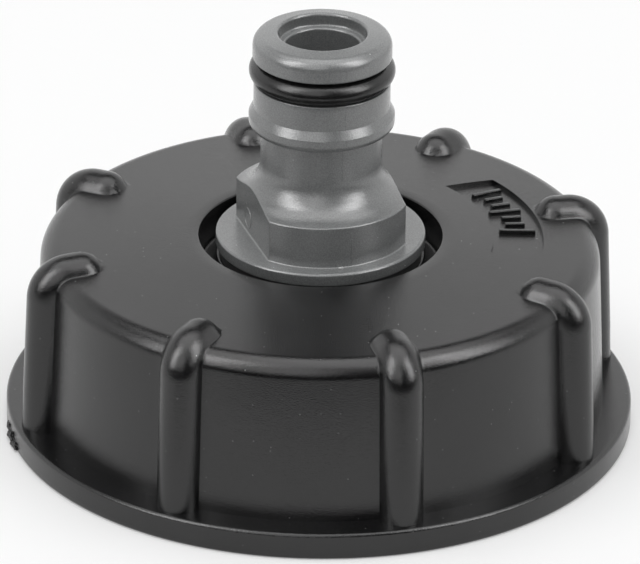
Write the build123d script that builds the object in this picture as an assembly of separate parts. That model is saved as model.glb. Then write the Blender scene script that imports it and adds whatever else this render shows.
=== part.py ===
from build123d import *
import os
from math import radians, tan

# Tank adapter for the outlet valve of an intermediate bulk container.
#
# A ribbed screw cap with a coarse tank thread carries a push-on hose nipple, which screws
# into a socket in the middle of the cap. Millimetres, +Z up. The origin is the centre of the
# cap rim's bottom face, which is also the face the part stands on.
#
# Pieces: cap, cap_gasket, flange_washer, nipple, nose_o_ring.
# Thread turns are left off. The tank thread's wall is its root, the spigot is at the root of
# its thread, and the socket is bored to the root of its own.

# Cap: tank thread bore and gasket seat
TANK_THREAD_RADIUS = 30.3    # root of the coarse 60 mm thread
TANK_THREAD_MOUTH = 1.2      # height and depth of the lead-in at the rim
GASKET_SEAT_DEPTH = 6.36     # plain seat above the thread, up to the ceiling
GASKET_SEAT_STEP = 0.85      # the seat is this much narrower than the thread
GASKET_SIDE_GAP = 0.25
GASKET_WIDTH = 5.2
GASKET_THICKNESS = 3.0

# Cap: wall, rim and top
WALL_THICKNESS = 3.8         # outside the thread, at the rim
WALL_DRAFT_DEG = 2.3         # the wall leans in towards the top
WALL_FOOT_ROUND = 1.3
RIM_OVERHANG = 3.4
RIM_HEIGHT = 3.25
RIM_EDGE_ROUND = 0.45
TOP_HEIGHT = 24.17           # top face beside the recess
TOP_FALL_DEG = 3.7           # the top face falls slightly towards the wall
TOP_EDGE_ROUND = 1.7
TOP_THICKNESS = 3.0

# Cap: grip ribs, round bars that climb the wall and hook over the top edge
RIB_COUNT = 8
RIB_FIRST_ANGLE_DEG = 16.6
RIB_BAR_RADIUS = 2.6
RIB_STAND_OFF = 0.1          # bar centre line outside the wall
RIB_TOP_SINK = 0.8           # bar centre line under the top face
RIB_BEND_RADIUS = 2.7
RIB_TOP_REACH = 3.86         # from the wall's top in to the centre of the rounded end
RIB_FOOT_SINK = 1.0          # how far the bar runs into the rim

# Cap: socket for the nipple, and the recess round it
SOCKET_BORE_RADIUS = 10.6    # root of the half-inch pipe thread in the socket
SOCKET_WALL = 1.9
SOCKET_LENGTH = 7.8
SOCKET_EDGE_ROUND = 0.4
RECESS_GAP = 2.0             # between the nipple's flange and the recess's side
RECESS_DEPTH = 4.3
RECESS_WALL = 3.0
RECESS_EDGE_ROUND = 0.2

# Washer under the nipple's flange
WASHER_THICKNESS = 1.2
WASHER_INSET = 0.4           # smaller than the socket's outside, all round

# Nipple: spigot, flange and wrench collar
PIPE_THREAD_DEPTH = 1.35     # from the socket's thread root to the spigot's
SPIGOT_LENGTH = 8.6
SPIGOT_END_CHAMFER = 0.6
FLANGE_PROUD = 0.49          # flange above the cap's top face
FLANGE_THICKNESS = 1.66
FLANGE_EDGE_ROUND = 0.3
COLLAR_STEP = 1.8            # from the flange's edge in to the collar
COLLAR_HEIGHT = 5.05
COLLAR_FOOT_ROUND = 0.2
COLLAR_EDGE_ROUND = 0.2
FLATS_ACROSS = 17.0
FLATS_ANGLE_DEG = 18.0       # the flats' normal, from the X axis
FLARE_RADIUS = 4.3           # hollow round from the shoulder up to the neck

# Nipple: barrel that the hose coupling pushes onto
BARREL_RADIUS = 8.1
BARREL_LENGTH = 12.0         # from the ridge's foot to the nose's top
NECK_STEP = 0.87             # the neck is this much thinner than the barrel
NECK_LENGTH = 8.79           # from the shoulder up to the ridge
RIDGE_PROUD = 0.56
RIDGE_WIDTH = 1.6
RIDGE_CONE_HEIGHT = 1.1
RIDGE_EDGE_ROUND = 0.8
O_RING_SECTION = 2.7
O_RING_PROUD = 0.56
O_RING_DROP = 4.85           # from the nose's top down to the ring's centre
O_RING_SIDE_GAP = 0.3
O_RING_SEAT_GAP = 0.05
NOSE_STEP = 0.15             # the nose is this much thicker than the barrel
NOSE_TOP_FALL = 0.5          # the nose's end face falls towards its rim
NOSE_TOP_ROUND = 1.4
SMALL_EDGE_ROUND = 0.25

# Nipple: waterway
WATERWAY_RADIUS = 4.4
MOUTH_STEP = 0.82            # the mouth is this much wider than the waterway
MOUTH_DEPTH = 1.6
MOUTH_EDGE_ROUND = 0.3
SPIGOT_WALL = 2.45
SPIGOT_BORE_RISE = 3.34      # top of the spigot's wide bore, above the flange
BORE_CONE_HEIGHT = 4.0


def turned(corners):
    """Turn a closed outline about Z. Each corner is radius, height and rounding."""
    points = [(radius, height) for radius, height, _ in corners]
    roundings = [rounding for _, _, rounding in corners]
    outline = FilletPolyline(*points, radius=roundings, close=True)
    return revolve(Plane.XZ * make_face(outline), axis=Axis.Z)


def ring(inner, outer, bottom, top):
    """A flat ring with square edges, as punched from rubber sheet."""
    return Pos(0, 0, bottom) * extrude(Circle(outer) - Circle(inner), top - bottom)


# Radii of the cap and of the nipple, from the axis outwards
SOCKET_OUTER_RADIUS = SOCKET_BORE_RADIUS + SOCKET_WALL
FLANGE_RADIUS = SOCKET_OUTER_RADIUS
RECESS_RADIUS = FLANGE_RADIUS + RECESS_GAP
RECESS_OUTER_RADIUS = RECESS_RADIUS + RECESS_WALL
GASKET_SEAT_RADIUS = TANK_THREAD_RADIUS - GASKET_SEAT_STEP
GASKET_OUTER_RADIUS = GASKET_SEAT_RADIUS - GASKET_SIDE_GAP
WALL_FOOT_RADIUS = TANK_THREAD_RADIUS + WALL_THICKNESS
RIM_RADIUS = WALL_FOOT_RADIUS + RIM_OVERHANG
SPIGOT_RADIUS = SOCKET_BORE_RADIUS - PIPE_THREAD_DEPTH
SPIGOT_BORE_RADIUS = SPIGOT_RADIUS - SPIGOT_WALL
COLLAR_RADIUS = FLANGE_RADIUS - COLLAR_STEP
NECK_RADIUS = BARREL_RADIUS - NECK_STEP
RIDGE_RADIUS = BARREL_RADIUS + RIDGE_PROUD
NOSE_RADIUS = BARREL_RADIUS + NOSE_STEP
MOUTH_RADIUS = WATERWAY_RADIUS + MOUTH_STEP
O_RING_OUTER_RADIUS = BARREL_RADIUS + O_RING_PROUD
O_RING_CENTRE_RADIUS = O_RING_OUTER_RADIUS - O_RING_SECTION / 2
GROOVE_RADIUS = O_RING_OUTER_RADIUS - O_RING_SECTION - O_RING_SEAT_GAP


def wall_radius(height):
    """Outside radius of the cap's drafted wall at a height."""
    return WALL_FOOT_RADIUS - (height - RIM_HEIGHT) * tan(radians(WALL_DRAFT_DEG))


def top_face_height(radius):
    """Height of the cap's slightly conical top face at a distance from the axis."""
    return TOP_HEIGHT - (radius - RECESS_RADIUS) * tan(radians(TOP_FALL_DEG))


# Heights, from the cap's top face down into the cap and up the nipple
WALL_TOP_RADIUS = wall_radius(TOP_HEIGHT)
CEILING = top_face_height(WALL_TOP_RADIUS) - TOP_THICKNESS
TANK_THREAD_END = CEILING - GASKET_SEAT_DEPTH
RECESS_FLOOR = TOP_HEIGHT - RECESS_DEPTH
FLANGE_TOP = TOP_HEIGHT + FLANGE_PROUD
FLANGE_BOTTOM = FLANGE_TOP - FLANGE_THICKNESS
SPIGOT_END = FLANGE_BOTTOM - SPIGOT_LENGTH
SPIGOT_BORE_TOP = FLANGE_TOP + SPIGOT_BORE_RISE
SOCKET_TOP = FLANGE_BOTTOM - WASHER_THICKNESS
SOCKET_BOTTOM = SOCKET_TOP - SOCKET_LENGTH
SHOULDER = FLANGE_TOP + COLLAR_HEIGHT
NECK_BOTTOM = SHOULDER + FLARE_RADIUS
RIDGE_BOTTOM = SHOULDER + NECK_LENGTH
RIDGE_TOP = RIDGE_BOTTOM + RIDGE_WIDTH
NIPPLE_TOP = RIDGE_BOTTOM + BARREL_LENGTH
O_RING_HEIGHT = NIPPLE_TOP - O_RING_DROP
GROOVE_HALF_WIDTH = O_RING_SECTION / 2 + O_RING_SIDE_GAP
GROOVE_BOTTOM = O_RING_HEIGHT - GROOVE_HALF_WIDTH
GROOVE_TOP = O_RING_HEIGHT + GROOVE_HALF_WIDTH


def cap_outside():
    """Rim, drafted wall, conical top and the recess round the socket, turned solid."""
    return turned([
        (0, 0, 0),
        (RIM_RADIUS, 0, RIM_EDGE_ROUND),
        (RIM_RADIUS, RIM_HEIGHT, RIM_EDGE_ROUND),
        (WALL_FOOT_RADIUS, RIM_HEIGHT, WALL_FOOT_ROUND),
        (WALL_TOP_RADIUS, top_face_height(WALL_TOP_RADIUS), TOP_EDGE_ROUND),
        (RECESS_RADIUS, TOP_HEIGHT, RECESS_EDGE_ROUND),
        (RECESS_RADIUS, RECESS_FLOOR, 0),
        (SOCKET_OUTER_RADIUS, RECESS_FLOOR, 0),
        (SOCKET_OUTER_RADIUS, SOCKET_TOP, SMALL_EDGE_ROUND),
        (0, SOCKET_TOP, 0),
    ])


def cap_inside():
    """The hollow inside the cap: thread bore, gasket seat and the space round the socket."""
    hollow = turned([
        (0, 0, 0),
        (TANK_THREAD_RADIUS + TANK_THREAD_MOUTH, 0, 0),
        (TANK_THREAD_RADIUS, TANK_THREAD_MOUTH, 0),
        (TANK_THREAD_RADIUS, TANK_THREAD_END, 0),
        (GASKET_SEAT_RADIUS, TANK_THREAD_END, 0),
        (GASKET_SEAT_RADIUS, CEILING, 0),
        (RECESS_OUTER_RADIUS, CEILING, 0),
        (RECESS_OUTER_RADIUS, RECESS_FLOOR - TOP_THICKNESS, SOCKET_EDGE_ROUND),
        (SOCKET_OUTER_RADIUS, RECESS_FLOOR - TOP_THICKNESS, 0),
        (SOCKET_OUTER_RADIUS, SOCKET_BOTTOM, SOCKET_EDGE_ROUND),
        (0, SOCKET_BOTTOM, 0),
    ])
    socket = extrude(Circle(SOCKET_BORE_RADIUS), SOCKET_TOP)
    return hollow + socket


def grip_rib():
    """One round-backed rib on the +X side: up the wall, over the edge, to a round nose."""
    foot_height = RIM_HEIGHT - RIB_FOOT_SINK
    foot = (wall_radius(foot_height) + RIB_STAND_OFF, 0, foot_height)
    corner_radius = WALL_TOP_RADIUS + RIB_STAND_OFF
    corner = (corner_radius, 0, top_face_height(corner_radius) - RIB_TOP_SINK)
    nose_radius = WALL_TOP_RADIUS - RIB_TOP_REACH
    nose = (nose_radius, 0, top_face_height(nose_radius) - RIB_TOP_SINK)
    path = FilletPolyline(foot, corner, nose, radius=RIB_BEND_RADIUS)
    start = Plane(origin=path @ 0, z_dir=path % 0)
    bar = sweep(start * Circle(RIB_BAR_RADIUS), path=path)
    return bar + Pos(*nose) * Sphere(RIB_BAR_RADIUS)


def cap():
    """The moulded cap with its ribs."""
    body = cap_outside()
    for index in range(RIB_COUNT):
        angle = RIB_FIRST_ANGLE_DEG + index * 360 / RIB_COUNT
        body = body + Rot(Z=angle) * grip_rib()
    return body - cap_inside()


def cap_gasket():
    """Flat ring that seals on the end of the tank valve's outlet."""
    return ring(GASKET_OUTER_RADIUS - GASKET_WIDTH, GASKET_OUTER_RADIUS,
                CEILING - GASKET_THICKNESS, CEILING)


def flange_washer():
    """Flat washer between the socket's rim and the nipple's flange."""
    return ring(SOCKET_BORE_RADIUS, SOCKET_OUTER_RADIUS - WASHER_INSET,
                SOCKET_TOP, FLANGE_BOTTOM)


def on_collar_surface(edge):
    """True for the edges round the shoulder and the flats, above the collar's foot."""
    middle = edge @ 0.5
    reach = max((point.X**2 + point.Y**2)**0.5 for point in (edge @ 0, middle, edge @ 1))
    return middle.Z > FLANGE_TOP and reach > FLATS_ACROSS / 2 and middle.Z < NECK_BOTTOM


def wrench_collar():
    """Collar with two wrench flats, which run up into the hollow flare of the neck."""
    stock_radius = COLLAR_RADIUS + FLARE_RADIUS
    flared = turned([
        (0, FLANGE_TOP, 0),
        (stock_radius, FLANGE_TOP, 0),
        (stock_radius, SHOULDER, 0),
        (NECK_RADIUS, SHOULDER, FLARE_RADIUS),
        (NECK_RADIUS, RIDGE_BOTTOM, 0),
        (0, RIDGE_BOTTOM, 0),
    ])
    height = RIDGE_BOTTOM - FLANGE_TOP
    blank = Pos(0, 0, FLANGE_TOP) * extrude(Circle(COLLAR_RADIUS), height)
    across = Rectangle(FLATS_ACROSS, 2 * FLANGE_RADIUS)
    flats = Pos(0, 0, FLANGE_TOP) * Rot(Z=FLATS_ANGLE_DEG) * extrude(across, height)
    collar = flared & blank & flats
    outer_edges = [edge for edge in collar.edges() if on_collar_surface(edge)]
    return fillet(outer_edges, COLLAR_EDGE_ROUND)


def barrel():
    """Ridge, groove for the ring and the nose, above the neck."""
    return turned([
        (0, RIDGE_BOTTOM, 0),
        (RIDGE_RADIUS, RIDGE_BOTTOM, RIDGE_EDGE_ROUND),
        (RIDGE_RADIUS, RIDGE_TOP, SMALL_EDGE_ROUND),
        (BARREL_RADIUS, RIDGE_TOP + RIDGE_CONE_HEIGHT, SMALL_EDGE_ROUND),
        (BARREL_RADIUS, GROOVE_BOTTOM, SMALL_EDGE_ROUND),
        (GROOVE_RADIUS, GROOVE_BOTTOM, 0),
        (GROOVE_RADIUS, GROOVE_TOP, 0),
        (NOSE_RADIUS, GROOVE_TOP, SMALL_EDGE_ROUND),
        (NOSE_RADIUS, NIPPLE_TOP - NOSE_TOP_FALL, NOSE_TOP_ROUND),
        (MOUTH_RADIUS, NIPPLE_TOP, 0),
        (0, NIPPLE_TOP, 0),
    ])


def flange_and_spigot():
    """Flange that presses on the washer, and the spigot in the socket."""
    return turned([
        (0, SPIGOT_END, 0),
        (SPIGOT_RADIUS - SPIGOT_END_CHAMFER, SPIGOT_END, 0),
        (SPIGOT_RADIUS, SPIGOT_END + SPIGOT_END_CHAMFER, 0),
        (SPIGOT_RADIUS, FLANGE_BOTTOM, 0),
        (FLANGE_RADIUS, FLANGE_BOTTOM, FLANGE_EDGE_ROUND),
        (FLANGE_RADIUS, FLANGE_TOP, FLANGE_EDGE_ROUND),
        (0, FLANGE_TOP, 0),
    ])


def waterway():
    """The passage: counterbored mouth, narrow barrel bore and wide spigot bore."""
    return turned([
        (0, SPIGOT_END, 0),
        (SPIGOT_BORE_RADIUS, SPIGOT_END, 0),
        (SPIGOT_BORE_RADIUS, SPIGOT_BORE_TOP, 0),
        (WATERWAY_RADIUS, SPIGOT_BORE_TOP + BORE_CONE_HEIGHT, 0),
        (WATERWAY_RADIUS, NIPPLE_TOP - MOUTH_DEPTH, SMALL_EDGE_ROUND),
        (MOUTH_RADIUS, NIPPLE_TOP - MOUTH_DEPTH, SMALL_EDGE_ROUND),
        (MOUTH_RADIUS, NIPPLE_TOP, 0),
        (0, NIPPLE_TOP, 0),
    ])


def nipple():
    """Hose nipple in one moulding."""
    solid = flange_and_spigot() + wrench_collar() + barrel()
    foot_edges = [
        edge for edge in solid.edges().filter_by_position(Axis.Z, FLANGE_TOP, FLANGE_TOP)
        if edge.bounding_box().max.X <= COLLAR_RADIUS + SMALL_EDGE_ROUND
    ]
    bored = fillet(foot_edges, COLLAR_FOOT_ROUND) - waterway()
    mouth_edge = bored.edges().sort_by(Axis.Z)[-1]
    return fillet(mouth_edge, MOUTH_EDGE_ROUND)


def nose_o_ring():
    """O-ring in the barrel's groove."""
    section = Pos(O_RING_CENTRE_RADIUS, O_RING_HEIGHT) * Circle(O_RING_SECTION / 2)
    return revolve(Plane.XZ * section, axis=Axis.Z)


PIECES = {
    "cap": cap,
    "cap_gasket": cap_gasket,
    "flange_washer": flange_washer,
    "nipple": nipple,
    "nose_o_ring": nose_o_ring,
}

os.makedirs("parts", exist_ok=True)
for name, make in PIECES.items():
    export_step(make(), f"parts/{name}.step")
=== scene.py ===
from math import atan, atan2, ceil, cos, hypot, pi, radians, sin, tan

import bmesh
import bpy
import numpy as np
from mathutils import Matrix, Vector, noise


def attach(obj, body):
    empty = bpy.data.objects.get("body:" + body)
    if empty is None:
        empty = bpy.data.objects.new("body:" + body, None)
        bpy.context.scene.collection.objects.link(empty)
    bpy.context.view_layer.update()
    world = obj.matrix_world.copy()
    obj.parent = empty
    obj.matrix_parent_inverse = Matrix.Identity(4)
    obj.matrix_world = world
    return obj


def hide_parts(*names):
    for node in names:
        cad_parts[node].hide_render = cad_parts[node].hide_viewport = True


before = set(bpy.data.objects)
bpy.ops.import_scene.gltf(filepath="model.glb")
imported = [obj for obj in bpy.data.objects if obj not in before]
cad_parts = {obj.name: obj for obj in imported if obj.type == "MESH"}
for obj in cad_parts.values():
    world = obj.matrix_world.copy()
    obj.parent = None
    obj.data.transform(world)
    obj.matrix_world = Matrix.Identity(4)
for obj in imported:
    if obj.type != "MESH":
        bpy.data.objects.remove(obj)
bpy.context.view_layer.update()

# Tank adapter cap with its hose nipple. Sizes are in millimetres until a piece is finished,
# when its mesh is scaled to metres. The origin is the centre of the cap rim's bottom face.

MM = 0.001
FULL_TURN = 2 * pi

# Cap outline. The top's fall, its edge and the wall's foot follow the photograph, and the rest
# has the solid cap's sizes.
RIM_RADIUS = 37.5
RIM_HEIGHT = 3.25
RIM_EDGE_ROUND = 0.45
WALL_FOOT_RADIUS = 34.1
WALL_DRAFT = tan(radians(2.3))
TOP_HEIGHT = 24.17
TOP_FALL = tan(radians(2.9))
TOP_EDGE_ROUND = 2.3
RECESS_RADIUS = 14.5
RECESS_EDGE_ROUND = 0.2
RECESS_FLOOR = 19.87
RECESS_FOOT_ROUND = 0.5
RECESS_OUTER_RADIUS = 17.5
SOCKET_RADIUS = 12.5
SOCKET_BORE_RADIUS = 10.6
SOCKET_EDGE_ROUND = 0.25
SOCKET_TOP = 21.8
SOCKET_BOTTOM = 14.0
INNER_FLOOR = 16.87
INNER_ROUND = 0.4
CEILING = 19.957
GASKET_SEAT_RADIUS = 29.45
THREAD_END = 13.597
THREAD_RADIUS = 30.3
THREAD_MOUTH = 1.2
TOP_SIDE_START = CEILING + 1   # what lies higher belongs to the cap's outside

# Ribs: round bars that climb the wall and hook over the top's edge
RIB_COUNT = 8
RIB_FIRST_ANGLE = radians(16.6)
RIB_BAR_RADIUS = 2.6
RIB_STAND_OFF = 0.1
RIB_TOP_SINK = 0.8
RIB_BEND_RADIUS = 2.7
RIB_NOSE_RADIUS = 29.4
RIB_CREASE = 0.14              # width over which rib and cap blend
RIB_LOW_END = 8.0              # the foot's blend into the rim lies below this height
RIB_ROWS_START = 17.0          # above this height the rows are close together
RIB_NOSE_END = 25.8            # inside this radius the top is plain again
RIB_FAR_OUT = 4.5              # height at which the search for a rib's surface starts
RIB_SEARCH_STEPS = 90
LEAST_SHRINK = 0.08            # how narrow the rim's face may get beside a rib's foot

# Sunk panel on the cap's top, from its clockwise end to its slanted end
PANEL_INNER_RADIUS = 20.6
PANEL_OUTER_RADIUS = 26.6
PANEL_FIRST_ANGLE = radians(-11.5)
PANEL_LAST_ANGLE = radians(40.5)
PANEL_SLANT = radians(5.0)     # how far its last end leans between the two radii
PANEL_LEAN_SPREAD = radians(12)   # the columns lean less and less up to this far away
PANEL_LEAN_MARGIN = 1.5        # and up to this far inside and outside the panel
PANEL_DEPTH = 0.5
PANEL_DRAFT = 0.012

# Raised bars in the panel: angle in degrees, inner radius, outer radius
PANEL_BARS = [
    (6, 21.4, 25.8),
    (10.5, 22.4, 24.8),
    (15, 22.4, 24.8),
    (19.5, 21.4, 25.4),
    (24, 22.4, 24.8),
    (28.5, 22.4, 24.8),
    (33, 21.8, 25.8),
]
BAR_WIDTH = 0.62
BAR_SINK = 0.1                 # how deep a bar stands in the panel's floor
BAR_TOP_LENGTH_SHARE = 0.97
BAR_TOP_WIDTH_SHARE = 0.8
BAR_EDGE_ROUND = 0.08

# Nipple sizes that the small pieces sit on
NOSE_RADIUS = 8.25
NOSE_BOTTOM = 47.3
NOSE_STRAIGHT_TOP = 49.0
BARREL_RADIUS = 8.1
BARREL_SEAM_TOP = 43.7
RIDGE_RADIUS = 8.66
RIDGE_BOTTOM = 38.5
RIDGE_TOP = 40.1
CONE_TOP = 41.2
NECK_RADIUS = 7.23
NECK_BOTTOM = 34.01
FLANGE_TOP = 24.66
COLLAR_RADIUS = 10.7
COLLAR_SEAM_TOP = 28.2
FLATS_DISTANCE = 8.5
FLATS_ANGLE = radians(198)
MOUTH_RADIUS = 5.22
MOUTH_TOP = 50.33
GROOVE_BOTTOM = 44.0
GROOVE_LAND_TOP = 44.3         # the groove's lower edge, as high as the photograph shows it
LAND_DEPTH = 1.3
LAND_SINK = 0.3
LAND_EDGE_ROUND = 0.12
SPIGOT_RADIUS = 9.25

# Threads. A ridge's two widths are those of its foot and of its crest.
TANK_PITCH = 6.0
TANK_CREST_RADIUS = 28.1
TANK_RIDGE_WIDTHS = (4.2, 1.6)
TANK_THREAD_START = 3.6
TANK_TURNS = 1.3
PIPE_PITCH = 1.8143
PIPE_RIDGE_WIDTHS = (1.3, 0.25)
SOCKET_CREST_RADIUS = 9.42
SOCKET_THREAD_START = 14.8
SOCKET_TURNS = 3.3
SPIGOT_CREST_RADIUS = 10.42
SPIGOT_TURNS = 3.2
THREAD_SINK = 0.15             # how deep a ridge's foot stands in its wall
THREAD_STEPS = 96              # for one turn

# The moulds' traces on the nipple
SEAM_ANGLE = radians(-70)
SEAM_WIDTH = radians(0.9)
SEAM_PROUD = 0.035
SEAM_SINK = 0.1
SEAM_SLOPE = 0.05
SEAM_RUNS = [                  # radius, lower end, upper end
    (NOSE_RADIUS, NOSE_BOTTOM + 0.2, NOSE_STRAIGHT_TOP),
    (BARREL_RADIUS, CONE_TOP + 0.1, BARREL_SEAM_TOP),
    (RIDGE_RADIUS, RIDGE_BOTTOM + 0.8, RIDGE_TOP),
    (NECK_RADIUS, NECK_BOTTOM, RIDGE_BOTTOM),
    (COLLAR_RADIUS, FLANGE_TOP + 0.1, COLLAR_SEAM_TOP),
]
PIN_RING_SECTION = [(-0.1, 1.32), (0.05, 1.26), (0.05, 1.16), (-0.1, 1.1)]   # height, radius
PIN_RING_STEPS = 48
PIN_SIDEWAYS = -1.8
PIN_HEIGHT = 26.5
BURR_ROUGHNESS = 0.4
BURRS = [                      # size, place before it is turned, angle in degrees
    ((0.12, 0.3, 0.1), (COLLAR_RADIUS + 0.2, 0, FLANGE_TOP + 0.08), -77),
    ((0.08, 0.22, 0.07), (MOUTH_RADIUS + 0.08, 0, MOUTH_TOP), 58),
]

# The torn stub of the gate on the rim: angle in degrees, height, and size out, along and up
GATE_LUMPS = [
    (195.2, 0.5, (0.5, 1.2, 0.5)),
    (192.2, 0.8, (0.55, 1.4, 0.75)),
    (189.4, 1.1, (0.4, 1.0, 0.6)),
]
GATE_SINK = 0.12
GATE_ROUGHNESS = 0.45
GATE_BEHIND_RIM = 0.01         # how far it keeps inside the rim's width
GATE_ABOVE_FLOOR = 0.05
LUMP_FINE_WAVES = 3.1
LUMP_COARSE_WAVES = 1.3

# Mesh fineness
ARC_STEP = 0.115
LEAST_ARC_SEGMENTS = 3
HOOK_ROW_SPACING = 0.29        # where a rib bends or ends
FOOT_ROW_SPACING = 0.6         # on the rim, where a rib stands
LOW_ROW_SPACING = 0.9          # on the outside's lowest part
PLAIN_ROW_SPACING = 2.5
LAND_ROW_SPACING = 1.0
LAND_STEPS = 128
HALF_RIB_COLUMNS = 17
GAP_COLUMNS = 16
SECTOR_COLUMNS = 2 * HALF_RIB_COLUMNS + GAP_COLUMNS
SECTOR = FULL_TURN / RIB_COUNT
SMOOTH_LIMIT = radians(32)
WELD = 0.0005
TINY = 1e-9


def wall_radius(height):
    """Outside radius of the cap's drafted wall."""
    return WALL_FOOT_RADIUS - (height - RIM_HEIGHT) * WALL_DRAFT


def top_height(radius):
    """Height of the cap's slightly conical top face."""
    return TOP_HEIGHT - (radius - RECESS_RADIUS) * TOP_FALL


WALL_TOP_RADIUS = wall_radius(TOP_HEIGHT)


# Modelling steps that several pieces share


def finish_piece(name, bm, body, material):
    """Close a bmesh in millimetres, scale it to metres and let it ride on a body."""
    bmesh.ops.remove_doubles(bm, verts=bm.verts, dist=WELD)
    bmesh.ops.recalc_face_normals(bm, faces=bm.faces)
    bmesh.ops.scale(bm, vec=(MM, MM, MM), verts=bm.verts)
    mesh = bpy.data.meshes.new(name)
    bm.to_mesh(mesh)
    bm.free()
    mesh.materials.append(material)
    mesh.shade_smooth()
    mesh.set_sharp_from_angle(angle=SMOOTH_LIMIT)
    piece = bpy.data.objects.new(name, mesh)
    bpy.context.scene.collection.objects.link(piece)
    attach(piece, body)
    return piece


def spin(bm, geom, angle, steps, rise=0.0, axis=(0, 0, 1), **options):
    """Spin geometry about an axis through the origin, lifted by the rise at each step."""
    bmesh.ops.spin(bm, geom=geom, cent=(0, 0, 0), axis=axis, dvec=(0, 0, rise), angle=angle,
                   steps=steps, **options)


def turn(bm, verts, angle, axis="Z"):
    """Turn vertices about an axis through the origin."""
    bmesh.ops.rotate(bm, verts=verts, cent=(0, 0, 0), matrix=Matrix.Rotation(angle, 3, axis))


def outline(bm, corners, spacing):
    """Closed wire outline in the XZ plane. A corner is radius, height and rounding, and
    spacing gives the greatest distance between rows at a place."""
    verts = [bm.verts.new((radius, 0, height)) for radius, height, _ in corners]
    for pair in zip(verts, verts[1:] + verts[:1]):
        bm.edges.new(pair)
    for vert, (_, _, rounding) in zip(verts, corners):
        if rounding:
            round_corner(bm, vert, rounding)
    while long_runs := [edge for edge in bm.edges if edge.calc_length() > spacing(middle_of(edge))]:
        bmesh.ops.subdivide_edges(bm, edges=long_runs, cuts=1)


def middle_of(edge):
    """Middle point of an edge."""
    return (edge.verts[0].co + edge.verts[1].co) / 2


def round_corner(bm, vert, rounding):
    """Replace a corner of a wire by an arc that is tangent to both its runs."""
    runs = [(edge.other_vert(vert).co - vert.co).normalized() for edge in vert.link_edges]
    bend = pi - runs[0].angle(runs[1])
    segments = max(LEAST_ARC_SEGMENTS, ceil(rounding * bend / ARC_STEP))
    bmesh.ops.bevel(bm, geom=[vert], offset=rounding * tan(bend / 2), offset_type="OFFSET",
                    segments=segments, profile=0.5, affect="VERTICES", material=-1)


# The cap


def cap_rows(middle):
    """Greatest distance between rows of the cap: small where a rib bends, ends or stands."""
    if middle.x > RIB_NOSE_END and middle.z > RIB_ROWS_START:
        return HOOK_ROW_SPACING
    if middle.x > WALL_FOOT_RADIUS and middle.z > RIM_HEIGHT - WELD:
        return FOOT_ROW_SPACING
    if middle.x > THREAD_RADIUS + THREAD_MOUTH and middle.z < RIB_LOW_END:
        return LOW_ROW_SPACING
    return PLAIN_ROW_SPACING


def cap_outline(bm):
    """Closed outline of the cap: outside from the rim's foot up and in, then the hollow."""
    outline(bm, [
        (RIM_RADIUS, 0, RIM_EDGE_ROUND),
        (RIM_RADIUS, RIM_HEIGHT, RIM_EDGE_ROUND),
        (WALL_FOOT_RADIUS, RIM_HEIGHT, 0),
        (wall_radius(RIB_LOW_END), RIB_LOW_END, 0),
        (wall_radius(RIB_ROWS_START), RIB_ROWS_START, 0),
        (WALL_TOP_RADIUS, top_height(WALL_TOP_RADIUS), TOP_EDGE_ROUND),
        (PANEL_OUTER_RADIUS, top_height(PANEL_OUTER_RADIUS), 0),
        (RIB_NOSE_END, top_height(RIB_NOSE_END), 0),
        (PANEL_INNER_RADIUS, top_height(PANEL_INNER_RADIUS), 0),
        (RECESS_RADIUS, TOP_HEIGHT, RECESS_EDGE_ROUND),
        (RECESS_RADIUS, RECESS_FLOOR, RECESS_FOOT_ROUND),
        (SOCKET_RADIUS, RECESS_FLOOR, RECESS_FOOT_ROUND),
        (SOCKET_RADIUS, SOCKET_TOP, SOCKET_EDGE_ROUND),
        (SOCKET_BORE_RADIUS, SOCKET_TOP, 0),
        (SOCKET_BORE_RADIUS, SOCKET_BOTTOM, 0),
        (SOCKET_RADIUS, SOCKET_BOTTOM, INNER_ROUND),
        (SOCKET_RADIUS, INNER_FLOOR, INNER_ROUND),
        (RECESS_OUTER_RADIUS, INNER_FLOOR, INNER_ROUND),
        (RECESS_OUTER_RADIUS, CEILING, INNER_ROUND),
        (GASKET_SEAT_RADIUS, CEILING, 0),
        (GASKET_SEAT_RADIUS, THREAD_END, 0),
        (THREAD_RADIUS, THREAD_END, 0),
        (THREAD_RADIUS, THREAD_MOUTH, 0),
        (THREAD_RADIUS + THREAD_MOUTH, 0, 0),
    ], cap_rows)


def column_places():
    """Sideways distance of each column from its rib, and its share of the gap between ribs.

    Columns are spread evenly along the rib's round back, so they crowd at its steep sides."""
    quarter = RIB_BAR_RADIUS * pi / 2
    margin = 2 * RIB_CREASE
    offset = np.arange(SECTOR_COLUMNS + 1) - SECTOR_COLUMNS // 2
    along = np.minimum(np.abs(offset) / HALF_RIB_COLUMNS, 1) * (quarter + margin)
    reach = RIB_BAR_RADIUS * np.sin(np.minimum(along, quarter) / RIB_BAR_RADIUS)
    sideways = (reach + np.maximum(along - quarter, 0)) * np.sign(offset)
    beyond = np.maximum(np.abs(offset) - HALF_RIB_COLUMNS, 0) / (GAP_COLUMNS / 2)
    return sideways, beyond * np.sign(offset)


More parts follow.
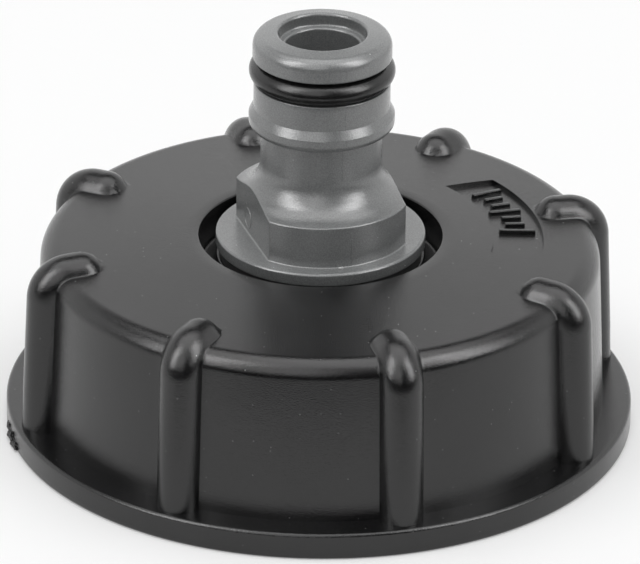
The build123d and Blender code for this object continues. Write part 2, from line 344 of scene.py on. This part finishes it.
def rib_distance(side, out, up):
    """Distance from a rib's surface. side, out and up are the rib's own coordinates."""
    corner = np.array([WALL_TOP_RADIUS + RIB_STAND_OFF,
                       top_height(WALL_TOP_RADIUS + RIB_STAND_OFF) - RIB_TOP_SINK])
    foot = np.array([wall_radius(0) + RIB_STAND_OFF, 0.0])
    nose = np.array([RIB_NOSE_RADIUS, top_height(RIB_NOSE_RADIUS) - RIB_TOP_SINK])
    down = (foot - corner) / np.linalg.norm(foot - corner)
    inward = (nose - corner) / np.linalg.norm(nose - corner)
    half_turn = np.arccos(np.dot(down, inward)) / 2
    reach = RIB_BEND_RADIUS / tan(half_turn)
    bend_foot = corner + down * reach
    bend_nose = corner + inward * reach
    middle = (down + inward) / np.linalg.norm(down + inward)
    centre = corner + middle * RIB_BEND_RADIUS / sin(half_turn)
    place = np.stack([out, up], axis=-1)
    straight = np.minimum(run_distance(place, foot, bend_foot), run_distance(place, bend_nose, nose))
    from_centre = place - centre
    round_part = np.abs(np.linalg.norm(from_centre, axis=-1) - RIB_BEND_RADIUS)
    turned = -(from_centre @ middle) / np.maximum(np.linalg.norm(from_centre, axis=-1), TINY)
    in_bend = turned >= sin(half_turn)
    in_plane = np.where(in_bend, np.minimum(round_part, straight), straight)
    return np.hypot(side, in_plane) - RIB_BAR_RADIUS


def run_distance(place, start, end):
    """Distance of points from a straight run in the rib's plane."""
    along = end - start
    share = np.clip(((place - start) @ along) / np.dot(along, along), 0, 1)
    return np.linalg.norm(place - start - share[..., None] * along, axis=-1)


def smooth_union(first, second, width):
    """Distance from two blended bodies."""
    overlap = np.maximum(width - np.abs(first - second), 0) / width
    return np.minimum(first, second) - overlap * overlap * width / 4


def rib_height(side, out, up, normal_out, normal_up):
    """How far the ribbed surface stands outside the plain one, along the plain normal."""
    height = np.full(len(side), RIB_FAR_OUT)
    for _ in range(RIB_SEARCH_STEPS):
        gap = rib_distance(side, out + height * normal_out, up + height * normal_up)
        height = np.maximum(height - smooth_union(height, gap, RIB_CREASE), 0)
    return height


def outside_normal(radius, height):
    """Direction in which the cap's outside is moved at each row: out on the wall, up on the top."""
    arc_out = WALL_TOP_RADIUS - TOP_EDGE_ROUND * (1 + TOP_FALL)
    arc_up = top_height(WALL_TOP_RADIUS) - TOP_EDGE_ROUND * (1 - WALL_DRAFT)
    wall_angle = np.arctan(WALL_DRAFT)
    top_angle = pi / 2 - np.arctan(TOP_FALL)
    angle = np.clip(np.arctan2(height - arc_up, radius - arc_out), wall_angle, top_angle)
    angle = np.where(radius < arc_out, top_angle, angle)
    angle = np.where(height < arc_up, wall_angle, angle)
    return np.cos(angle), np.sin(angle)


def shape_sector(bm):
    """Draw one sector's columns together at its rib, and raise the rib out of wall and top."""
    sideways, share = column_places()
    verts = bm.verts[:]
    place = np.array([vert.co for vert in verts])
    radius = np.hypot(place[:, 0], place[:, 1])
    height = place[:, 2]
    column = np.rint(np.arctan2(place[:, 1], place[:, 0]) / SECTOR * SECTOR_COLUMNS).astype(int)
    side = sideways[column]
    near = np.arcsin(side / radius)
    turned = near + share[column] * (SECTOR / 2 - np.abs(near))

    outside = (height > RIM_HEIGHT - WELD) & (radius > RIB_NOSE_END - WELD)
    outside &= (radius > THREAD_RADIUS + THREAD_MOUTH) | (height > TOP_SIDE_START)
    upper = outside & (height >= RIB_LOW_END - WELD)
    lower = outside & ~upper & (radius < RIM_RADIUS - RIM_EDGE_ROUND)
    off = radius * np.sin(turned)
    out = radius * np.cos(turned)
    up = height.copy()
    normal_out, normal_up = outside_normal(radius, height)
    raised = rib_height(off[upper], out[upper], up[upper], normal_out[upper], normal_up[upper])
    out[upper] += raised * normal_out[upper]
    up[upper] += raised * normal_up[upper]

    # The foot: the wall's lowest rows move out with the rib and draw together at its foot, and
    # the rows on the rim's face draw together in front of it
    low_radius = wall_radius(RIB_LOW_END)
    low_out = np.sqrt(low_radius ** 2 - side ** 2)
    low_raised = rib_height(side, low_out, np.full(len(side), RIB_LOW_END),
                            np.ones(len(side)), np.zeros(len(side)))
    room = RIM_RADIUS - RIM_EDGE_ROUND - WALL_FOOT_RADIUS
    shrink = np.clip((room - low_raised) / room, LEAST_SHRINK, 1)
    step_out = radius - WALL_FOOT_RADIUS
    rise = height - RIM_HEIGHT
    blend = np.clip(rise / (RIB_LOW_END - RIM_HEIGHT), 0, 1)
    new_radius = WALL_FOOT_RADIUS + low_raised + np.maximum(step_out, 0) * shrink
    new_radius += np.minimum(step_out, 0)
    grown = new_radius - radius
    out[lower] += grown[lower]
    up[lower] = (RIM_HEIGHT + rise * (shrink + (1 - shrink) * blend))[lower]

    for index, vert in enumerate(verts):
        vert.co = (out[index], off[index], up[index])


def sink_panel(bm):
    """Press the panel into the cap's top."""
    chosen = []
    for face in bm.faces:
        middle = face.calc_center_median()
        radius = hypot(middle.x, middle.y)
        if not PANEL_INNER_RADIUS < radius < PANEL_OUTER_RADIUS or middle.z < TOP_SIDE_START:
            continue
        if PANEL_FIRST_ANGLE < atan2(middle.y, middle.x) < PANEL_LAST_ANGLE:
            chosen.append(face)
    bmesh.ops.recalc_face_normals(bm, faces=bm.faces)
    bmesh.ops.inset_region(bm, faces=chosen, thickness=PANEL_DRAFT, depth=-PANEL_DEPTH,
                           use_boundary=True, use_even_offset=True)


def lean_panel_end(bm):
    """Slant the columns near the panel's last end, as its edge runs there."""
    middle = (PANEL_INNER_RADIUS + PANEL_OUTER_RADIUS) / 2
    width = PANEL_OUTER_RADIUS - PANEL_INNER_RADIUS
    for vert in bm.verts:
        radius = hypot(vert.co.x, vert.co.y)
        if vert.co.z < TOP_SIDE_START:
            continue
        if not RECESS_RADIUS < radius < PANEL_OUTER_RADIUS + PANEL_LEAN_MARGIN:
            continue
        away = abs(atan2(vert.co.y, vert.co.x) - PANEL_LAST_ANGLE) / PANEL_LEAN_SPREAD
        beyond = max(PANEL_INNER_RADIUS - radius, radius - PANEL_OUTER_RADIUS, 0) / PANEL_LEAN_MARGIN
        weight = max(1 - away, 0) * max(1 - beyond, 0)
        lean = (middle - radius) / width * PANEL_SLANT * weight
        vert.co.rotate(Matrix.Rotation(lean, 3, "Z"))


def cap_moulding(material):
    """The moulded cap: one sector with its rib, repeated round the axis and merged."""
    bm = bmesh.new()
    cap_outline(bm)
    spin(bm, bm.verts[:] + bm.edges[:], SECTOR, SECTOR_COLUMNS)
    shape_sector(bm)
    turn(bm, bm.verts, RIB_FIRST_ANGLE)
    spin(bm, bm.verts[:] + bm.edges[:] + bm.faces[:], FULL_TURN - SECTOR, RIB_COUNT - 1,
         use_duplicate=True)
    bmesh.ops.remove_doubles(bm, verts=bm.verts, dist=WELD)
    sink_panel(bm)
    lean_panel_end(bm)
    piece = finish_piece("cap_moulding", bm, "cap", material)
    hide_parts("cap")


# Materials

CLOUD_SHARE = 0.5              # how much the large unevenness counts beside the fine grain
NOISE_LOW = 0.25               # most of a noise lies between these two
NOISE_HIGH = 0.75


def socket_group(name, inputs, outputs):
    """An empty shader node group with named inputs and outputs."""
    group = bpy.data.node_groups.new(name, "ShaderNodeTree")
    for label, kind, default in inputs:
        socket = group.interface.new_socket(name=label, in_out="INPUT", socket_type=kind)
        socket.default_value = default
    for label, kind in outputs:
        group.interface.new_socket(name=label, in_out="OUTPUT", socket_type=kind)
    return group


def add_node(tree, kind, values=None, links=None, **settings):
    """A node with its settings, its sockets' values and the links into it."""
    node = tree.nodes.new(kind)
    for name, value in settings.items():
        setattr(node, name, value)
    for label, value in (values or {}).items():
        node.inputs[label].default_value = value
    for label, source in (links or {}).items():
        tree.links.new(source, node.inputs[label])
    return node


def grain_group():
    """Fine spark-eroded mould grain, with larger soft unevenness."""
    group = socket_group("moulded_grain", [
        ("Vector", "NodeSocketVector", (0, 0, 0)),
        ("Grain Scale", "NodeSocketFloat", 4000),
        ("Cloud Scale", "NodeSocketFloat", 90),
    ], [("Height", "NodeSocketFloat"), ("Cloud", "NodeSocketFloat")])
    given = group.nodes.new("NodeGroupInput")
    fine = add_node(group, "ShaderNodeTexNoise", {"Detail": 1.0, "Roughness": 0.5},
                    {"Vector": given.outputs["Vector"], "Scale": given.outputs["Grain Scale"]})
    cloud = add_node(group, "ShaderNodeTexNoise", {"Detail": 4.0, "Roughness": 0.55},
                     {"Vector": given.outputs["Vector"], "Scale": given.outputs["Cloud Scale"]})
    add_node(group, "NodeGroupOutput", links={"Height": fine.outputs[0], "Cloud": cloud.outputs[0]})
    return group


def speck_group():
    """Mask of tiny dust specks scattered over a surface."""
    group = socket_group("dust_specks", [
        ("Vector", "NodeSocketVector", (0, 0, 0)),
        ("Scale", "NodeSocketFloat", 900),
        ("Share", "NodeSocketFloat", 0.04),
        ("Size", "NodeSocketFloat", 0.07),
    ], [("Mask", "NodeSocketFloat")])
    given = group.nodes.new("NodeGroupInput")
    cells = add_node(group, "ShaderNodeTexVoronoi", {},
                     {"Vector": given.outputs["Vector"], "Scale": given.outputs["Scale"]})
    small = add_node(group, "ShaderNodeMath", {},
                     {0: cells.outputs["Distance"], 1: given.outputs["Size"]}, operation="LESS_THAN")
    parts = add_node(group, "ShaderNodeSeparateColor", {}, {"Color": cells.outputs["Color"]})
    chosen = add_node(group, "ShaderNodeMath", {},
                      {0: parts.outputs[0], 1: given.outputs["Share"]}, operation="LESS_THAN")
    both = add_node(group, "ShaderNodeMath", {}, {0: small.outputs[0], 1: chosen.outputs[0]},
                    operation="MULTIPLY")
    add_node(group, "NodeGroupOutput", links={"Mask": both.outputs[0]})
    return group


GRAIN = grain_group()
SPECKS = speck_group()


def placed_group(tree, group, vector, values):
    """A shared group in a material, with that material's own values."""
    node = tree.nodes.new("ShaderNodeGroup")
    node.node_tree = group
    tree.links.new(vector, node.inputs["Vector"])
    for label, value in values.items():
        node.inputs[label].default_value = value
    return node


def mix_colours(tree, factor, first, second):
    """First colour where the factor is 0, second where it is 1. Either may be a socket."""
    node = tree.nodes.new("ShaderNodeMix")
    node.data_type = "RGBA"
    tree.links.new(factor, node.inputs["Factor"])
    for label, colour in (("A", first), ("B", second)):
        socket = [s for s in node.inputs if s.name == label and s.type == "RGBA"][0]
        if isinstance(colour, tuple):
            socket.default_value = (*colour, 1)
        else:
            tree.links.new(colour, socket)
    return [s for s in node.outputs if s.type == "RGBA"][0]


def mapped(tree, source, low, high, to_low, to_high):
    """A value moved from one range to another."""
    node = add_node(tree, "ShaderNodeMapRange", {
        "From Min": low, "From Max": high, "To Min": to_low, "To Max": to_high,
    }, {"Value": source})
    return node.outputs["Result"]


def plastic(name, dark, light, rough, bump, grain_scale, cloud_scale, speck_share, speck_colour,
            specular):
    """Moulded plastic or rubber: clouded colour, grain in the surface and a few dust specks."""
    material = bpy.data.materials.new(name)
    material.use_nodes = True
    tree = material.node_tree
    shader = tree.nodes["Principled BSDF"]
    place = tree.nodes.new("ShaderNodeTexCoord").outputs["Object"]
    grain = placed_group(tree, GRAIN, place, {"Grain Scale": grain_scale, "Cloud Scale": cloud_scale})
    specks = placed_group(tree, SPECKS, place, {"Share": speck_share})
    cloudy = add_node(tree, "ShaderNodeMath", {1: CLOUD_SHARE}, {
        0: grain.outputs["Cloud"], 2: grain.outputs["Height"]}, operation="MULTIPLY_ADD").outputs[0]
    middle = CLOUD_SHARE / 2
    uneven = mapped(tree, cloudy, NOISE_LOW + middle, NOISE_HIGH + middle, 0, 1)
    colour = mix_colours(tree, uneven, dark, light)
    colour = mix_colours(tree, specks.outputs["Mask"], colour, speck_colour)
    tree.links.new(colour, shader.inputs["Base Color"])
    tree.links.new(mapped(tree, cloudy, 0, 1 + CLOUD_SHARE, *rough), shader.inputs["Roughness"])
    shader.inputs["Specular IOR Level"].default_value = specular
    relief = add_node(tree, "ShaderNodeBump", {"Strength": 1.0, "Distance": bump},
                      {"Height": grain.outputs["Height"]})
    tree.links.new(relief.outputs["Normal"], shader.inputs["Normal"])
    return material


CAP_BLACK = plastic(
    "cap_black_plastic", dark=(0.0, 0.0, 0.0), light=(0.013, 0.013, 0.0135), rough=(0.1, 0.23),
    bump=0.000028, grain_scale=7000, cloud_scale=120,
    speck_share=0.3, speck_colour=(0.13, 0.13, 0.13), specular=0.6)
TORN_BLACK = plastic(
    "torn_black_plastic", dark=(0.0, 0.0, 0.0), light=(0.05, 0.05, 0.05), rough=(0.3, 0.7),
    bump=0.0002, grain_scale=2500, cloud_scale=900,
    speck_share=1.0, speck_colour=(0.2, 0.2, 0.2), specular=0.5)
NIPPLE_GREY = plastic(
    "nipple_grey_plastic", dark=(0.145, 0.15, 0.15), light=(0.225, 0.23, 0.23), rough=(0.11, 0.25),
    bump=0.000024, grain_scale=7000, cloud_scale=150,
    speck_share=0.1, speck_colour=(0.5, 0.5, 0.5), specular=1.0)
# Pale grey for the two burrs is a painted highlight: it makes each tiny burr show as a small bright
# spot.
BURR_HIGHLIGHT_GREY = plastic(
    "burr_highlight_grey_plastic", dark=(0.55, 0.55, 0.55), light=(0.7, 0.7, 0.7), rough=(0.3, 0.5),
    bump=0.00002, grain_scale=4000, cloud_scale=900,
    speck_share=0.0, speck_colour=(0.5, 0.5, 0.5), specular=0.5)
RING_RUBBER = plastic(
    "o_ring_black_rubber", dark=(0.002, 0.002, 0.002), light=(0.014, 0.014, 0.014), rough=(0.16, 0.28),
    bump=0.00002, grain_scale=6500, cloud_scale=200,
    speck_share=0.1, speck_colour=(0.2, 0.2, 0.2), specular=0.5)
SEAL_RUBBER = plastic(
    "gasket_black_rubber", dark=(0.02, 0.02, 0.02), light=(0.035, 0.035, 0.035), rough=(0.6, 0.75),
    bump=0.000006, grain_scale=2500, cloud_scale=150,
    speck_share=0.02, speck_colour=(0.2, 0.2, 0.2), specular=0.5)


def dress(node, material):
    """Give a CAD node its finish."""
    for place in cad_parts[node].material_slots:
        place.material = material


# Details of the mouldings


def thread(name, body, material, root, crest, widths, pitch, start, turns):
    """A right-hand thread ridge: a small section spun and lifted along the axis."""
    sunk = root + (THREAD_SINK if crest < root else -THREAD_SINK)
    foot_width, crest_width = widths
    bm = bmesh.new()
    corners = [
        (sunk, start - foot_width / 2),
        (crest, start - crest_width / 2),
        (crest, start + crest_width / 2),
        (sunk, start + foot_width / 2),
    ]
    section = bm.faces.new([bm.verts.new((radius, 0, height)) for radius, height in corners])
    steps = int(THREAD_STEPS * turns)
    spin(bm, [section], FULL_TURN * turns, steps, rise=pitch * turns / steps)
    finish_piece(name, bm, body, material)


def panel_bars():
    """Plain raised bars in the sunk panel, level with the top around it."""
    bm = bmesh.new()
    for angle, inner, outer in PANEL_BARS:
        bar = bmesh.ops.create_cube(bm, size=1.0)["verts"]
        bmesh.ops.scale(bm, vec=(outer - inner, BAR_WIDTH, PANEL_DEPTH + BAR_SINK), verts=bar)
        upper = [vert for vert in bar if vert.co.z > 0]
        bmesh.ops.scale(bm, vec=(BAR_TOP_LENGTH_SHARE, BAR_TOP_WIDTH_SHARE, 1.0), verts=upper)
        edges = [edge for edge in bm.edges if edge.verts[0] in upper and edge.verts[1] in upper]
        rounded = bmesh.ops.bevel(bm, geom=edges, offset=BAR_EDGE_ROUND, offset_type="OFFSET",
                                  segments=3, profile=0.5, affect="EDGES", material=-1)
        bar = [vert for vert in set(bar + rounded["verts"]) if vert.is_valid]
        middle = (inner + outer) / 2
        turn(bm, bar, atan(TOP_FALL), "Y")
        height = top_height(middle) - (PANEL_DEPTH + BAR_SINK) / 2
        bmesh.ops.translate(bm, vec=(middle, 0, height), verts=bar)
        turn(bm, bar, radians(angle))
    finish_piece("panel_bars", bm, "cap", CAP_BLACK)


def groove_land():
    """The barrel's upper edge below the O-ring, on which the ring rests."""
    bm = bmesh.new()
    outline(bm, [
        (BARREL_RADIUS - LAND_DEPTH, GROOVE_BOTTOM - LAND_SINK, 0),
        (BARREL_RADIUS, GROOVE_BOTTOM - LAND_SINK, 0),
        (BARREL_RADIUS, GROOVE_LAND_TOP, LAND_EDGE_ROUND),
        (BARREL_RADIUS - LAND_DEPTH, GROOVE_LAND_TOP, 0),
    ], lambda middle: LAND_ROW_SPACING)
    spin(bm, bm.verts[:] + bm.edges[:], FULL_TURN, LAND_STEPS, use_merge=True)
    finish_piece("groove_land", bm, "nipple", NIPPLE_GREY)


def lump(bm, size, place, angle, roughness):
    """A torn bit of plastic: a ball squashed to its size and roughened."""
    ball = bmesh.ops.create_icosphere(bm, subdivisions=4, radius=1.0)["verts"]
    for vert in ball:
        fine = noise.noise(vert.co * LUMP_FINE_WAVES + Vector(place))
        coarse = noise.noise(vert.co * LUMP_COARSE_WAVES - Vector(place))
        vert.co *= 1 + roughness * (fine + coarse)
    bmesh.ops.scale(bm, vec=size, verts=ball)
    bmesh.ops.translate(bm, vec=place, verts=ball)
    turn(bm, ball, angle)


def gate_vestige():
    """The torn stub of the mould's gate, low on the rim's side, kept inside the rim's width."""
    bm = bmesh.new()
    for angle, height, size in GATE_LUMPS:
        lump(bm, size, (RIM_RADIUS - GATE_SINK, 0, height), radians(angle), GATE_ROUGHNESS)
    for vert in bm.verts:
        vert.co.x = max(vert.co.x, GATE_BEHIND_RIM - RIM_RADIUS)
        vert.co.z = max(vert.co.z, GATE_ABOVE_FLOOR)
    finish_piece("gate_vestige", bm, "cap", TORN_BLACK)


def parting_line():
    """The thin raised seam that the mould halves leave down both sides of the nipple."""
    bm = bmesh.new()
    for turned in (SEAM_ANGLE, SEAM_ANGLE + pi):
        for radius, low, high in SEAM_RUNS:
            corners = [
                (radius - SEAM_SINK, low),
                (radius + SEAM_PROUD, low + SEAM_SLOPE),
                (radius + SEAM_PROUD, high - SEAM_SLOPE),
                (radius - SEAM_SINK, high),
            ]
            verts = [bm.verts.new((out * cos(turned), out * sin(turned), up)) for out, up in corners]
            spin(bm, [bm.faces.new(verts)], SEAM_WIDTH, 3)
    finish_piece("parting_line", bm, "nipple", NIPPLE_GREY)


def ejector_mark():
    """The faint ring that a mould pin leaves on a wrench flat, on both flats."""
    bm = bmesh.new()
    for turned in (FLATS_ANGLE, FLATS_ANGLE + pi):
        placed = set(bm.verts)
        verts = [bm.verts.new((out, 0, across)) for out, across in PIN_RING_SECTION]
        edges = [bm.edges.new(pair) for pair in zip(verts, verts[1:] + verts[:1])]
        spin(bm, verts + edges, FULL_TURN, PIN_RING_STEPS, axis=(1, 0, 0), use_merge=True)
        ring = [vert for vert in bm.verts if vert not in placed]
        bmesh.ops.translate(bm, vec=(FLATS_DISTANCE, PIN_SIDEWAYS, PIN_HEIGHT), verts=ring)
        turn(bm, ring, turned)
    finish_piece("ejector_mark", bm, "nipple", NIPPLE_GREY)


def moulding_burrs():
    """Two tiny curls at the collar's foot and on the mouth's edge, made pale grey as a painted
    highlight.
    """
    bm = bmesh.new()
    for size, place, angle in BURRS:
        lump(bm, size, place, radians(angle), BURR_ROUGHNESS)
    finish_piece("moulding_burrs", bm, "nipple", BURR_HIGHLIGHT_GREY)


dress("nipple", NIPPLE_GREY)
dress("nose_o_ring", RING_RUBBER)
dress("flange_washer", SEAL_RUBBER)
dress("cap_gasket", SEAL_RUBBER)

cap_moulding(CAP_BLACK)
thread("tank_thread_turns", "cap", CAP_BLACK, THREAD_RADIUS, TANK_CREST_RADIUS,
       TANK_RIDGE_WIDTHS, TANK_PITCH, TANK_THREAD_START, TANK_TURNS)
thread("socket_thread_turns", "cap", CAP_BLACK, SOCKET_BORE_RADIUS,
       SOCKET_CREST_RADIUS, PIPE_RIDGE_WIDTHS, PIPE_PITCH, SOCKET_THREAD_START, SOCKET_TURNS)
thread("spigot_thread_turns", "nipple", NIPPLE_GREY, SPIGOT_RADIUS,
       SPIGOT_CREST_RADIUS, PIPE_RIDGE_WIDTHS, PIPE_PITCH, SOCKET_THREAD_START + PIPE_PITCH / 2,
       SPIGOT_TURNS)
panel_bars()
groove_land()
gate_vestige()
parting_line()
ejector_mark()
moulding_burrs()


# Stage: floor, light and camera. Sizes are in metres.

CAMERA_BACK = 0.888
CAMERA_HEIGHT = 0.4506
CAMERA_PITCH = radians(25.99)
CAMERA_ROLL = radians(0.6)
FOCAL_PIXELS = 8273.6
IMAGE_WIDTH = 640
SENSOR_WIDTH = 36.0
FLOOR_SIZE = 4
FLOOR_GREY = 0.72
FLOOR_ROUGHNESS = 0.9
FLOOR_BOOST = 0.24             # lifts the floor to white where it is seen or mirrored
WORLD_LIGHT = 0.4              # the surroundings' strength as light
BACKDROP_LEVELS = [(0, 1.0), (38, 1.0), (46, 0.1), (66, 0.1), (76, 0.5), (89, 0.5)]   # by elevation
ROOM_LEVEL = 0.07              # the room behind the viewer, as mirrored
ROOM_START = -0.35             # direction along Y at which the room has fully begun
BACKDROP_END = 0.1             # direction along Y up to which the backdrop is whole
CARD_START = 0.093             # how far in front of the part the dark card begins
CARD_DEPTH = 2.0
CARD_GREY = 0.02
AIM_HEIGHT = 0.02              # the lamps look at this height above the floor

# Lamps: name, azimuth and elevation in degrees, distance, width, height, radiance, and whether
# it lights the part or is only mirrored in it. Azimuth 0 is the viewer's side.
LAMPS = [
    ("left_panel", -36, 36, 0.9, 1.35, 0.7, 1.5, False),
    ("left_softbox", -58, 35, 0.9, 0.36, 0.75, 4.2, False),
    ("right_panel", 58, 36, 0.9, 0.7, 0.7, 1.5, False),
    ("right_softbox", 64, 35, 0.9, 0.34, 0.75, 4.0, False),
    ("overhead_softbox", 0, 85, 1.0, 1.5, 1.1, 1.95, True),
]


def add_camera():
    """Camera at the photograph's viewing angle."""
    data = bpy.data.cameras.new("camera")
    data.sensor_width = SENSOR_WIDTH
    data.lens = FOCAL_PIXELS / IMAGE_WIDTH * SENSOR_WIDTH
    camera = bpy.data.objects.new("camera", data)
    bpy.context.scene.collection.objects.link(camera)
    tilt = Matrix.Rotation(pi / 2 - CAMERA_PITCH, 4, "X") @ Matrix.Rotation(CAMERA_ROLL, 4, "Z")
    camera.matrix_world = Matrix.Translation((0, -CAMERA_BACK, CAMERA_HEIGHT)) @ tilt
    bpy.context.scene.camera = camera


def level_sheet(name, size, place, material):
    """A level square sheet for the stage."""
    bm = bmesh.new()
    bmesh.ops.create_grid(bm, x_segments=1, y_segments=1, size=size, matrix=Matrix.Translation(place))
    mesh = bpy.data.meshes.new(name)
    bm.to_mesh(mesh)
    bm.free()
    mesh.materials.append(material)
    sheet = bpy.data.objects.new(name, mesh)
    bpy.context.scene.collection.objects.link(sheet)
    return sheet


def dull_grey(name, level, roughness):
    """A grey material without gloss."""
    material = bpy.data.materials.new(name)
    material.use_nodes = True
    shader = material.node_tree.nodes["Principled BSDF"]
    shader.inputs["Base Color"].default_value = (level, level, level, 1)
    shader.inputs["Roughness"].default_value = roughness
    shader.inputs["Specular IOR Level"].default_value = 0.0
    return material


def seen_or_mirrored(tree):
    """1 for rays from the camera and for mirrored or refracted rays, else 0."""
    path = tree.nodes.new("ShaderNodeLightPath")
    seen = add_node(tree, "ShaderNodeMath", {}, {
        0: path.outputs["Is Camera Ray"], 1: path.outputs["Is Glossy Ray"]}, operation="MAXIMUM")
    seen = add_node(tree, "ShaderNodeMath", {}, {
        0: seen.outputs[0], 1: path.outputs["Is Transmission Ray"]}, operation="MAXIMUM")
    return seen.outputs[0]


def add_floor():
    """Pale floor that keeps the shadow and shows nearly white to the camera."""
    material = dull_grey("pale_floor", FLOOR_GREY, FLOOR_ROUGHNESS)
    tree = material.node_tree
    shader = tree.nodes["Principled BSDF"]
    shader.inputs["Emission Color"].default_value = (1, 1, 1, 1)
    boost = mapped(tree, seen_or_mirrored(tree), 0, 1, 0, FLOOR_BOOST)
    tree.links.new(boost, shader.inputs["Emission Strength"])
    level_sheet("floor", FLOOR_SIZE, (0, 0, 0), material)


def add_dark_card():
    """Black card on the floor in front, out of view, which only gloss on the part mirrors."""
    card = level_sheet("dark_card", CARD_DEPTH / 2, (0, -CARD_START - CARD_DEPTH / 2, MM),
                       dull_grey("card_black", CARD_GREY, 1.0))
    card.visible_camera = False
    card.visible_diffuse = False
    card.visible_shadow = False
    card.visible_transmission = False


def add_world():
    """White to the camera. Mirrored: a white backdrop behind the part, with a dim room above
    it and in front. Softer and even as light."""
    world = bpy.data.worlds.new("world")
    bpy.context.scene.world = world
    world.use_nodes = True
    tree = world.node_tree
    background = tree.nodes["Background"]
    direction = tree.nodes.new("ShaderNodeTexCoord").outputs["Generated"]
    parts = add_node(tree, "ShaderNodeSeparateXYZ", {}, {"Vector": direction})
    backdrop = add_node(tree, "ShaderNodeValToRGB", {}, {"Fac": parts.outputs["Z"]})
    stops = backdrop.color_ramp.elements
    while len(stops) < len(BACKDROP_LEVELS):
        stops.new(0.5)
    for stop, (elevation, level) in zip(stops, BACKDROP_LEVELS):
        stop.position = sin(radians(elevation))
        stop.color = (level, level, level, 1)
    behind = mapped(tree, parts.outputs["Y"], ROOM_START, BACKDROP_END, 0, 1)
    room = (ROOM_LEVEL, ROOM_LEVEL, ROOM_LEVEL)
    mirrored = mix_colours(tree, behind, room, backdrop.outputs["Color"])
    path = tree.nodes.new("ShaderNodeLightPath")
    colour = mix_colours(tree, path.outputs["Is Glossy Ray"], (1, 1, 1), mirrored)
    tree.links.new(colour, background.inputs["Color"])
    strength = mapped(tree, seen_or_mirrored(tree), 0, 1, WORLD_LIGHT, 1)
    tree.links.new(strength, background.inputs["Strength"])


def add_softbox(name, azimuth, elevation, distance, width, height, radiance, lights_part):
    """A rectangular lamp that looks at the part."""
    data = bpy.data.lights.new(name, "AREA")
    data.shape = "RECTANGLE"
    data.size = width
    data.size_y = height
    data.energy = radiance * width * height * pi
    lamp = bpy.data.objects.new(name, data)
    bpy.context.scene.collection.objects.link(lamp)
    level = distance * cos(elevation)
    place = Vector((level * sin(azimuth), -level * cos(azimuth), distance * sin(elevation)))
    aim = Vector((0, 0, AIM_HEIGHT)) - place
    lamp.matrix_world = Matrix.Translation(place) @ aim.to_track_quat("-Z", "Y").to_matrix().to_4x4()
    lamp.visible_diffuse = lights_part


add_camera()
add_floor()
add_world()
add_dark_card()
for lamp_name, azimuth, elevation, *rest in LAMPS:
    add_softbox(lamp_name, radians(azimuth), radians(elevation), *rest)

bpy.context.scene.view_settings.view_transform = "Standard"
